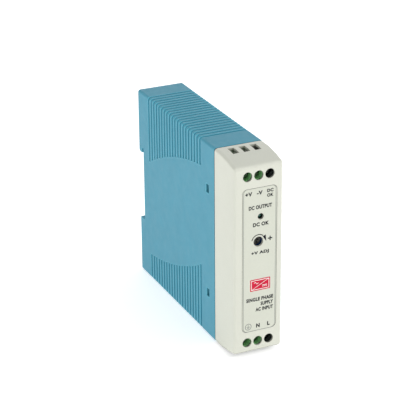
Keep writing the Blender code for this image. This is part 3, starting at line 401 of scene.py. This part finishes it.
BLUE = (80, 153, 175)
WHITE = (213, 214, 201)
MATERIALS = {
    # Case: painted shade in its grooves, a painted highlight on its ridge crests, and a painted seam shadow
    # on its front rim
    "case_blue": recoloured(
        plastic("case_blue_moulding", BLUE, 0.52, hollow_shade=(10, 96, 128), shade_share=0.34,
                crest=(120, 210, 226), sheen=0.25),
        "Y", "under", RIM_SHADOW_Y, (30, 62, 76)),
    # Cover: painted shade in its wire entries, holes and seams
    "cover_white": plastic("cover_white_moulding", WHITE, 0.48, mottle=0.012, wear=0.3, hollow_shade=(50, 52, 46),
                           shade_share=0.9, reach=0.005, shaded=(0.3, 0.72)),
    "label_film": plastic("label_satin_film", (207, 209, 195), 0.4, grain=0.00035, relief=0.000003,
                          mottle=0.008),
    "latch_grey": plastic("latch_grey_nylon", (58, 60, 62), 0.5, mottle=0.06, wear=0.3),
    "spring_steel": metal("spring_bright_steel", (176, 178, 182), 0.24),
    "board_green": board("board_solder_mask"),
    "insulation_film": plastic("insulation_fibre_film", (230, 226, 205), 0.4, relief=0.000003),
    # Terminal green: paler than the nylon, a painted highlight on the lit walls of the screw holes, with
    # painted shade deeper in them; past the last pole it turns dark
    "terminal_green": recoloured(
        plastic("terminal_green_nylon", (170, 248, 164), 0.34, mottle=0.05, wear=0.3,
                hollow_shade=(10, 34, 30), shade_share=0.95, reach=0.0045, shaded=(0.08, 0.28), coat=0.15),
        "X", "over", LAST_POLE_FROM, (24, 36, 34)),
    "zinc_steel": metal("zinc_plated_steel", (182, 186, 184), 0.3, (1.0, 0.25, 1.0), 0.14, (196, 196, 168)),
    "tinned_brass": metal("tinned_contact_brass", (196, 194, 176), 0.32, (1.0, 1.0, 0.3), 0.1,
                          (190, 168, 110)),
    "led_green": resin("lamp_tinted_resin", (84, 150, 132), (30, 84, 78)),
    "black_plastic": plastic("component_black_moulding", (33, 34, 36), 0.5, mottle=0.1, wear=0.25),
    "trimmer_blue": plastic("trimmer_blue_body", (38, 84, 150), 0.4, mottle=0.05),
    "rotor_dark": plastic("rotor_dark_nylon", (74, 74, 70), 0.42, mottle=0.08, wear=0.3),
    "ferrite": stone("ferrite_sintered", (62, 62, 64)),
    "bobbin_black": plastic("bobbin_phenolic", (36, 34, 32), 0.5, mottle=0.1),
    "winding_tape": wound("winding_yellow_tape", (214, 176, 60), 0.0011, "Z"),
    "capacitor_sleeve": plastic("capacitor_dark_sleeve", (38, 40, 52), 0.25, relief=0.000002, coat=0.5),
    "fuse_sleeve": plastic("fuse_brown_sleeve", (150, 110, 70), 0.3, coat=0.4),
    "thermistor_green": plastic("thermistor_dipped_coat", (60, 86, 66), 0.3, grain=0.0006, relief=0.00002,
                                coat=0.4),
    "film_yellow": plastic("capacitor_yellow_box", (222, 190, 70), 0.36, mottle=0.04),
    "disc_blue": plastic("disc_blue_coat", (46, 96, 160), 0.25, grain=0.0006, relief=0.00002, coat=0.5),
    "copper_wire": wound("copper_enamelled_turns", (196, 104, 54), 0.0006, "Y"),
    "heatsink_aluminium": metal("heatsink_milled_aluminium", (190, 192, 196), 0.36, (1.0, 0.2, 1.0)),
}
INK_GREY = ink("label_grey_ink", (24, 27, 32))
BORDER_GREY = ink("label_border_ink", (112, 116, 114))
BADGE_RED = ink("badge_red_ink", (190, 30, 58))
BADGE_WHITE = ink("badge_white_ink", (236, 236, 230))


# ------------------------------------------------------------------ mesh helpers
def in_scene(name, data):
    """A new object that is linked to the scene."""
    made = bpy.data.objects.new(name, data)
    bpy.context.scene.collection.objects.link(made)
    return made


def taken_from(holder, *spent):
    """The holder's mesh with its modifiers or curve worked out; it and the spent objects are removed."""
    bpy.context.view_layer.update()
    depsgraph = bpy.context.evaluated_depsgraph_get()
    mesh = bpy.data.meshes.new_from_object(holder.evaluated_get(depsgraph))
    for used in (holder, *spent):
        bpy.data.objects.remove(used)
    return mesh


def made_object(name, mesh, material, body):
    """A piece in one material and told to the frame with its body."""
    piece = in_scene(name, mesh)
    mesh.materials.clear()
    mesh.materials.append(material)
    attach(piece, body)
    return piece


def smooth_by_angle(mesh, degrees):
    limit = math.radians(degrees)
    bm = bmesh.new()
    bm.from_mesh(mesh)
    for face in bm.faces:
        face.smooth = True
    for edge in bm.edges:
        edge.smooth = len(edge.link_faces) == 2 and edge.calc_face_angle() < limit
    bm.to_mesh(mesh)
    bm.free()


def refined(node, width):
    """The CAD node's own shape, welded, with its sharp edges rounded."""
    bm = bmesh.new()
    bm.from_mesh(nodes[node].data)
    bmesh.ops.remove_doubles(bm, verts=bm.verts, dist=CAD_WELD)
    bmesh.ops.dissolve_limit(bm, angle_limit=math.radians(FLAT_UNDER), verts=bm.verts, edges=bm.edges)
    limit = math.radians(SHARP_OVER)
    sharp = [e for e in bm.edges if len(e.link_faces) == 2 and e.calc_face_angle() > limit]
    bmesh.ops.bevel(bm, geom=sharp, offset=width, segments=2, profile=0.5,
                    affect="EDGES", clamp_overlap=False, harden_normals=False)
    mesh = bpy.data.meshes.new(node + "_shape")
    bm.to_mesh(mesh)
    bm.free()
    smooth_by_angle(mesh, SMOOTH_REFINED)
    piece = standing_for(node, mesh)
    flat = piece.modifiers.new("flat_faces", "WEIGHTED_NORMAL")
    flat.keep_sharp = True
    flat.weight = 100


def sharp_mesh(name, bm, degrees=SMOOTH_MADE):
    """The bmesh as a mesh, facing out, smooth but for edges sharper than the angle."""
    bmesh.ops.recalc_face_normals(bm, faces=bm.faces)
    mesh = bpy.data.meshes.new(name)
    bm.to_mesh(mesh)
    bm.free()
    smooth_by_angle(mesh, degrees)
    return mesh


def turned(profile, base, axis, steps=48):
    """A solid of revolution: (radius, height) in millimetres, spun round axis through base."""
    bm = bmesh.new()
    points = [bm.verts.new((radius * MM, 0, height * MM)) for radius, height in profile]
    edges = [bm.edges.new(pair) for pair in zip(points, points[1:])]
    bmesh.ops.spin(bm, geom=points + edges, axis=(0, 0, 1), cent=(0, 0, 0), angle=2 * math.pi,
                   steps=steps, use_merge=True)
    bmesh.ops.remove_doubles(bm, verts=bm.verts, dist=WELD)
    tilt = Vector((0, 0, 1)).rotation_difference(axis).to_matrix().to_4x4()
    bm.transform(Matrix.Translation(Vector(base) * MM) @ tilt)
    return sharp_mesh("turned", bm)


def block(xs, ys, zs):
    """A cutter between two corners, in millimetres."""
    bm = bmesh.new()
    bmesh.ops.create_cube(bm, size=1.0)
    for v in bm.verts:
        v.co = Vector((xs[v.co.x > 0], ys[v.co.y > 0], zs[v.co.z > 0])) * MM
    return sharp_mesh("block", bm)


def carved(mesh, cutters, rounding):
    """The mesh less its cutters, with its sharp edges rounded."""
    solid = in_scene("solid", mesh)
    tools = [in_scene("tool", cutter) for cutter in cutters]
    for tool in tools:
        step = solid.modifiers.new("cut", "BOOLEAN")
        step.operation = "DIFFERENCE"
        step.solver = "EXACT"
        step.object = tool
    edge = solid.modifiers.new("edge", "BEVEL")
    edge.width = rounding * MM
    edge.segments = 2
    edge.limit_method = "ANGLE"
    edge.angle_limit = math.radians(CUT_SHARP_OVER)
    return taken_from(solid, *tools)


def standing_for(node, mesh):
    """A finer piece in the place of a CAD node, on its body and in its finish."""
    slot = nodes[node].data.materials[0].name
    piece = made_object(node + "_detail", mesh, MATERIALS[slot], nodes[node]["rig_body"])
    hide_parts(node)
    return piece


# ------------------------------------------------------------------------ prints
def flat_solid(name, rings, depth_from, depth_to, material):
    """A thin plate from outlines in X and Z, in millimetres; outlines after the first are holes."""
    curve = bpy.data.curves.new(name, "CURVE")
    curve.dimensions = "2D"
    curve.fill_mode = "BOTH"
    for ring in rings:
        spline = curve.splines.new("POLY")
        spline.points.add(len(ring) - 1)
        for point, (x, z) in zip(spline.points, ring):
            point.co = (x * MM, z * MM, 0, 1)
        spline.use_cyclic_u = True
    printed(name, curve, depth_from, depth_to, material)


def printed(name, curve, depth_from, depth_to, material):
    """A flat curve stood up to face the front and given thickness between two depths."""
    curve.extrude = abs(depth_to - depth_from) * MM / 2
    mesh = taken_from(in_scene(name, curve))
    middle = (depth_from + depth_to) / 2 * MM
    mesh.transform(Matrix.Translation((0, middle, 0)) @ Matrix.Rotation(math.pi / 2, 4, "X"))
    bm = bmesh.new()
    bm.from_mesh(mesh)
    bmesh.ops.remove_doubles(bm, verts=bm.verts, dist=WELD)
    bm.to_mesh(mesh)
    bm.free()
    return made_object(name, mesh, material, "housing")


def words(name, text, x, z, width, height):
    """Bold lettering centred on X and Z and stretched to a width and height, in millimetres."""
    curve = bpy.data.curves.new(name, "FONT")
    curve.body = text
    curve.size = height * MM
    curve.offset = LETTER_WEIGHT * height * MM
    curve.resolution_u = 6
    curve.space_character = 1.1
    mesh = printed(name, curve, PRINT_Y, PRINT_Y - INK, INK_GREY).data
    xs = [v.co.x for v in mesh.vertices]
    zs = [v.co.z for v in mesh.vertices]
    wide = width * MM / (max(xs) - min(xs))
    high = height * MM / (max(zs) - min(zs))
    for v in mesh.vertices:
        v.co.x = x * MM + (v.co.x - (max(xs) + min(xs)) / 2) * wide
        v.co.z = z * MM + (v.co.z - (max(zs) + min(zs)) / 2) * high


def rounded(x0, x1, z0, z1, radius, steps=8):
    """The outline of a rectangle with round corners."""
    points = []
    corners = ((x1 - radius, z1 - radius, 0), (x0 + radius, z1 - radius, 90),
               (x0 + radius, z0 + radius, 180), (x1 - radius, z0 + radius, 270))
    for cx, cz, start in corners:
        for i in range(steps + 1):
            turn = math.radians(start + 90 * i / steps)
            points.append((cx + radius * math.cos(turn), cz + radius * math.sin(turn)))
    return points


def arc_band(x, z, radius, width, start, end, steps=40):
    """The outline of a band along an arc, between two angles in degrees."""
    outer = []
    inner = []
    for i in range(steps + 1):
        turn = math.radians(start + (end - start) * i / steps)
        outer.append((x + (radius + width / 2) * math.cos(turn), z + (radius + width / 2) * math.sin(turn)))
        inner.append((x + (radius - width / 2) * math.cos(turn), z + (radius - width / 2) * math.sin(turn)))
    return outer + inner[::-1]


def ring(x, z, radius, steps=48):
    """The outline of a circle."""
    return [(x + radius * math.cos(2 * math.pi * i / steps), z + radius * math.sin(2 * math.pi * i / steps))
            for i in range(steps)]


def bar(x0, x1, z0, z1):
    """The outline of a rectangle with square corners."""
    return [(x0, z0), (x1, z0), (x1, z1), (x0, z1)]


def make_prints():
    top, bottom = PRINT_Y, PRINT_Y - INK
    border = [rounded(-7.0, 8.0, 12.0, 77.6, 1.9), rounded(-6.82, 7.84, 12.16, 77.54, 1.78)]
    flat_solid("print_border", border, top, bottom, BORDER_GREY)
    words("print_plus_output", "+V", -4.56, 75.2, 3.1, 1.85)
    words("print_minus_output", "-V", 0.44, 75.2, 2.6, 1.8)
    words("print_signal_upper", "DC", 5.3, 75.5, 2.9, 1.5)
    words("print_signal_lower", "OK", 5.3, 73.4, 2.9, 1.5)
    words("print_output_kind", "DC OUTPUT", 0.8, 68.9, 10.7, 1.75)
    words("print_lamp", "DC OK", 1.1, 61.1, 7.4, 1.75)
    words("print_adjust", "+V ADJ", 0.75, 48.1, 8.2, 1.8)
    flat_solid("print_plus_stroke_1", [bar(4.4, 6.4, 53.65, 54.15)], top, bottom, INK_GREY)
    flat_solid("print_plus_stroke_2", [bar(5.15, 5.65, 54.15, 54.9)], top, bottom, INK_GREY)
    flat_solid("print_plus_stroke_3", [bar(5.15, 5.65, 52.9, 53.65)], top, bottom, INK_GREY)
    words("print_input_upper", "SINGLE PHASE", 0.8, 26.75, 12.6, 1.75)
    words("print_input_middle", "SUPPLY", 4.15, 24.3, 5.8, 1.75)
    words("print_input_lower", "AC INPUT", 2.95, 21.85, 8.2, 1.75)
    words("print_neutral", "N", 0.0, 14.25, 1.7, 1.9)
    words("print_line", "L", 5.0, 14.25, 1.25, 1.9)
    # The turning arrow round the trimmer
    flat_solid("print_turn_arc", [arc_band(0, 53.3, 3.15, 0.36, 165, 48)], top, bottom, INK_GREY)
    flat_solid("print_turn_tip", [[(1.95, 55.3), (3.35, 55.9), (3.6, 52.8)]], top, bottom, INK_GREY)
    # Protective earth in its circle
    x, z = -4.56, 14.4
    flat_solid("print_earth_ring", [ring(x, z, 1.5), ring(x, z, 1.26)], top, bottom, BORDER_GREY)
    flat_solid("print_earth_stem", [bar(x - 0.1, x + 0.1, z - 0.05, z + 0.95)], top, bottom, BORDER_GREY)
    for i, half in enumerate((0.8, 0.52, 0.25)):
        low = z - 0.2 - 0.38 * i
        outline = bar(x - half, x + half, low, low + 0.18)
        flat_solid(f"print_earth_bar_{i + 1}", [outline], top, bottom, BORDER_GREY)
    # A red badge with the converter symbol, AC in and DC out
    above = bottom - BADGE_INK
    flat_solid("badge_panel", [rounded(-3.75, 5.6, 30.75, 36.1, 0.35)], top, bottom, BADGE_RED)
    flat_solid("badge_frame", [rounded(-3.3, 5.15, 31.2, 35.65, 0.2), rounded(-3.05, 4.9, 31.45, 35.4, 0.1)],
               bottom, above, BADGE_WHITE)
    flat_solid("badge_diagonal", [[(-3.1, 31.45), (-2.7, 31.45), (4.95, 35.4), (4.55, 35.4)]],
               bottom, above, BADGE_WHITE)
    wave = [(-1.9 + 2.0 * i / 24, 34.3 + 0.42 * math.sin(2 * math.pi * i / 24)) for i in range(25)]
    band = [(x, z + 0.14) for x, z in wave] + [(x, z - 0.14) for x, z in reversed(wave)]
    flat_solid("badge_wave", [band], bottom, above, BADGE_WHITE)
    flat_solid("badge_dc_line", [bar(1.9, 4.1, 32.75, 33.0)], bottom, above, BADGE_WHITE)
    for i in range(3):
        left = 1.9 + 0.82 * i
        dash = bar(left, left + 0.55, 32.2, 32.45)
        flat_solid(f"badge_dc_dash_{i + 1}", [dash], bottom, above, BADGE_WHITE)


# --------------------------------------------------------------- detailed pieces
def thread(centre, start, end, root, crest, pitch, per_turn=24):
    """A screw thread along Y as one ridge, that runs out into the shank at both ends."""
    x, z = centre
    bm = bmesh.new()
    count = round((end - start) / pitch * per_turn)
    last = None
    for i in range(count + 1):
        turn = 2 * math.pi * i / per_turn
        y = start + pitch * i / per_turn
        rise = min(1.0, i / per_turn * 2, (count - i) / per_turn * 2)
        tip = root + (crest - root) * rise
        ring = []
        for radius, shift in ((root, -0.45), (tip, -0.06), (tip, 0.06), (root, 0.45)):
            place = (x + radius * math.cos(turn), y + shift * pitch, z + radius * math.sin(turn))
            ring.append(bm.verts.new(Vector(place) * MM))
        if last:
            for k in range(4):
                bm.faces.new((last[k], last[(k + 1) % 4], ring[(k + 1) % 4], ring[k]))
        else:
            bm.faces.new(ring)
        last = ring
    bm.faces.new(last[::-1])
    return sharp_mesh("thread", bm)


def joined(*meshes):
    bm = bmesh.new()
    for mesh in meshes:
        bm.from_mesh(mesh)
    made = bpy.data.meshes.new("joined")
    bm.to_mesh(made)
    bm.free()
    return made


def make_screw(node):
    """A terminal screw: a domed head with a slot and a cross, and a threaded shank."""
    low, high = (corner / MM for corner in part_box(node))
    x, z = (low.x + high.x) / 2, (low.z + high.z) / 2
    face, tip, radius = low.y, high.y, (high.x - low.x) / 2
    seat = face + HEAD_THICKNESS
    crown = [(radius * math.sin(a), HEAD_CROWN * math.cos(a) - HEAD_CROWN) for a in (0, 0.35, 0.7, 1.0, 1.25)]
    profile = [(r, HEAD_THICKNESS + h) for r, h in crown]
    profile += [(radius, HEAD_THICKNESS - 0.42), (radius, 0.1), (radius - 0.1, 0.0), (SHANK, 0.0)]
    profile += [(SHANK, seat - tip + TIP_CHAMFER), (SHANK - TIP_CHAMFER, seat - tip), (0.0, seat - tip)]
    body = turned(profile, (x, seat, z), FRONT)
    depth = (face - 1, face + HEAD_SLOT_DEPTH)
    slot = block((x - radius - 1, x + radius + 1), depth, (z - SLOT_HALF, z + SLOT_HALF))
    cross = block((x - SLOT_HALF, x + SLOT_HALF), depth, (z - CROSS_HALF, z + CROSS_HALF))
    ridge = thread((x, z), seat + THREAD_MARGIN, tip - THREAD_MARGIN, SHANK - THREAD_SUNK, THREAD_CREST,
                   THREAD_PITCH)
    mesh = joined(carved(body, [slot, cross], CUT_EDGE), ridge)
    standing_for(node, mesh)


def make_rotor():
    """The trimmer's rotor: a chamfered disc with a long slot, a short one and a stem."""
    low, high = (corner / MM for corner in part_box("trimmer_rotor"))
    x, z = (low.x + high.x) / 2, (low.z + high.z) / 2
    radius = (high.x - low.x) / 2
    face, tip = low.y, high.y
    profile = [(0.0, 0.0), (radius - ROTOR_CHAMFER, 0.0), (radius, -ROTOR_CHAMFER), (radius, -ROTOR_DISC),
               (ROTOR_STEM, -ROTOR_DISC), (ROTOR_STEM, face - tip), (0.0, face - tip)]
    body = turned(profile, (x, face, z), FRONT, 64)
    depth = (face - 1, face + ROTOR_SLOT_DEPTH)
    long_slot = block((x - SLOT_HALF, x + SLOT_HALF), depth, (z - ROTOR_SLOT_REACH, z + ROTOR_SLOT_REACH))
    cross = block((x - CROSS_HALF, x + CROSS_HALF), depth, (z - SLOT_HALF, z + SLOT_HALF))
    standing_for("trimmer_rotor", carved(body, [long_slot, cross], CUT_EDGE))


def make_lamp():
    """The status lamp: a flange, a drawn body and a round lens."""
    low, high = (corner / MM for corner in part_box("status_led"))
    x, z = (low.x + high.x) / 2, (low.z + high.z) / 2
    flange = (high.x - low.x) / 2
    lens = flange - LAMP_LENS_INSET
    height = high.y - low.y
    arc = [math.pi / 2 * i / 12 for i in range(13)]
    profile = [(lens * math.sin(a), height - lens + lens * math.cos(a)) for a in arc]
    profile += [(lens, LAMP_FLANGE + 0.08), (lens + 0.05, LAMP_FLANGE), (flange - 0.05, LAMP_FLANGE),
                (flange, LAMP_SHOULDER), (flange, 0.0), (0.0, 0.0)]
    standing_for("status_led", turned(profile, (x, high.y, z), FRONT))


def make_latch_spring():
    """A compression spring with closed ends, which the latch presses when pulled down; it is built at rest
    and does not compress.
    """
    low, high = (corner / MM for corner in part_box("latch_spring"))
    x, y = (low.x + high.x) / 2, (low.y + high.y) / 2
    radius = (high.x - low.x) / 2 - SPRING_WIRE
    bottom, top = low.z + SPRING_WIRE, high.z - SPRING_WIRE
    count = round(SPRING_TURNS * SPRING_STEPS)
    curve = bpy.data.curves.new("spring", "CURVE")
    curve.dimensions = "3D"
    curve.bevel_depth = SPRING_WIRE * MM
    curve.bevel_resolution = 3
    curve.use_fill_caps = True
    spline = curve.splines.new("POLY")
    spline.points.add(count)
    dead = 2 * SPRING_WIRE
    active = SPRING_TURNS - 2 * SPRING_CLOSED
    climb = top - bottom - 2 * SPRING_CLOSED * dead
    for i, point in enumerate(spline.points):
        turns = i / SPRING_STEPS
        rising = min(max(turns - SPRING_CLOSED, 0), active)
        lying = min(turns, SPRING_CLOSED) + max(turns - (SPRING_TURNS - SPRING_CLOSED), 0)
        z = bottom + dead * lying + climb * rising / active
        angle = 2 * math.pi * turns
        place = Vector((x + radius * math.cos(angle), y + radius * math.sin(angle), z)) * MM
        point.co = (*place, 1)
    bm = bmesh.new()
    bm.from_mesh(taken_from(in_scene("spring", curve)))
    bmesh.ops.remove_doubles(bm, verts=bm.verts, dist=WELD)
    spring = standing_for("latch_spring", sharp_mesh("spring", bm, SMOOTH_SPRING))
    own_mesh(spring)


# ------------------------------------------------------------------------- build
detailed = {"trimmer_rotor": make_rotor, "status_led": make_lamp, "latch_spring": make_latch_spring}
for node in sorted(nodes):
    if node in ROUNDING:
        refined(node, ROUNDING[node] * MM)
    elif node in detailed:
        detailed[node]()
    elif "_screw_" in node:
        make_screw(node)
    else:
        slot = nodes[node].data.materials[0].name
        nodes[node].data.materials[0] = MATERIALS[slot]
make_prints()

# ------------------------------------------------------------------------- stage
floor_mesh = bpy.data.meshes.new("floor")
bm = bmesh.new()
bmesh.ops.create_grid(bm, x_segments=2, y_segments=2, size=FLOOR_HALF)
bm.to_mesh(floor_mesh)
bm.free()
floor = in_scene("floor", floor_mesh)
floor_finish = Finish("floor_paper")
paper = floor_finish.mix(floor_finish.noise(0.02, 3.0), linear((247, 247, 246)), linear((250, 250, 249)))
floor_finish.set(Base_Color=paper, Roughness=0.8, Emission_Color=(1.0, 1.0, 1.0, 1.0),
                 Emission_Strength=0.5)
floor.location.z = FLOOR_Z
floor_mesh.materials.append(floor_finish.material)


def area_light(name, direction, distance, size, power):
    data = bpy.data.lights.new(name, "AREA")
    data.shape = "DISK"
    data.size = size
    data.energy = power
    lamp = in_scene(name, data)
    aim = Vector(LIGHT_AIM)
    lamp.location = aim + Vector(direction).normalized() * distance
    lamp.rotation_euler = (aim - lamp.location).to_track_quat("-Z", "Y").to_euler()


area_light("key_left", (-0.97, -0.2, 0.16), 1.3, 0.6, 3.5)
area_light("key_right", (0.6, -0.6, 0.52), 1.3, 0.2, 5.4)
area_light("rear", (0.35, 0.85, 0.4), 1.4, 0.8, 1.6)


def studio_world():
    """A pale room, brighter overhead than at the horizon."""
    world = bpy.data.worlds.new("studio")
    world.use_nodes = True
    tree = world.node_tree
    background = tree.nodes["Background"]
    background.inputs["Color"].default_value = (0.97, 0.985, 1.0, 1)
    direction = tree.nodes.new("ShaderNodeTexCoord")
    split = tree.nodes.new("ShaderNodeSeparateXYZ")
    strength = tree.nodes.new("ShaderNodeMapRange")
    tree.links.new(direction.outputs["Generated"], split.inputs[0])
    tree.links.new(split.outputs["Z"], strength.inputs["Value"])
    strength.inputs["From Max"].default_value = ZENITH_FROM
    strength.inputs["To Min"].default_value = HORIZON
    strength.inputs["To Max"].default_value = ZENITH
    tree.links.new(strength.outputs["Result"], background.inputs["Strength"])
    bpy.context.scene.world = world


studio_world()
bpy.context.scene.view_settings.view_transform = "Standard"

# ------------------------------------------------------------------------ camera
turn, tilt, roll = math.radians(AZIMUTH), math.radians(ELEVATION), math.radians(ROLL)
back = Vector((math.sin(turn) * math.cos(tilt), -math.cos(turn) * math.cos(tilt), math.sin(tilt)))
side = (-back).cross(Vector((0, 0, 1))).normalized()
rise = side.cross(-back)
right = math.cos(roll) * side + math.sin(roll) * rise
above = -math.sin(roll) * side + math.cos(roll) * rise
camera_data = bpy.data.cameras.new("camera")
camera_data.lens = LENS
camera_data.sensor_width = SENSOR
camera_data.clip_start = 0.01
camera = in_scene("camera", camera_data)
axes = Matrix((right, above, back)).transposed()
camera.matrix_world = Matrix.Translation(CAMERA_PLACE) @ axes.to_4x4()
bpy.context.scene.camera = camera
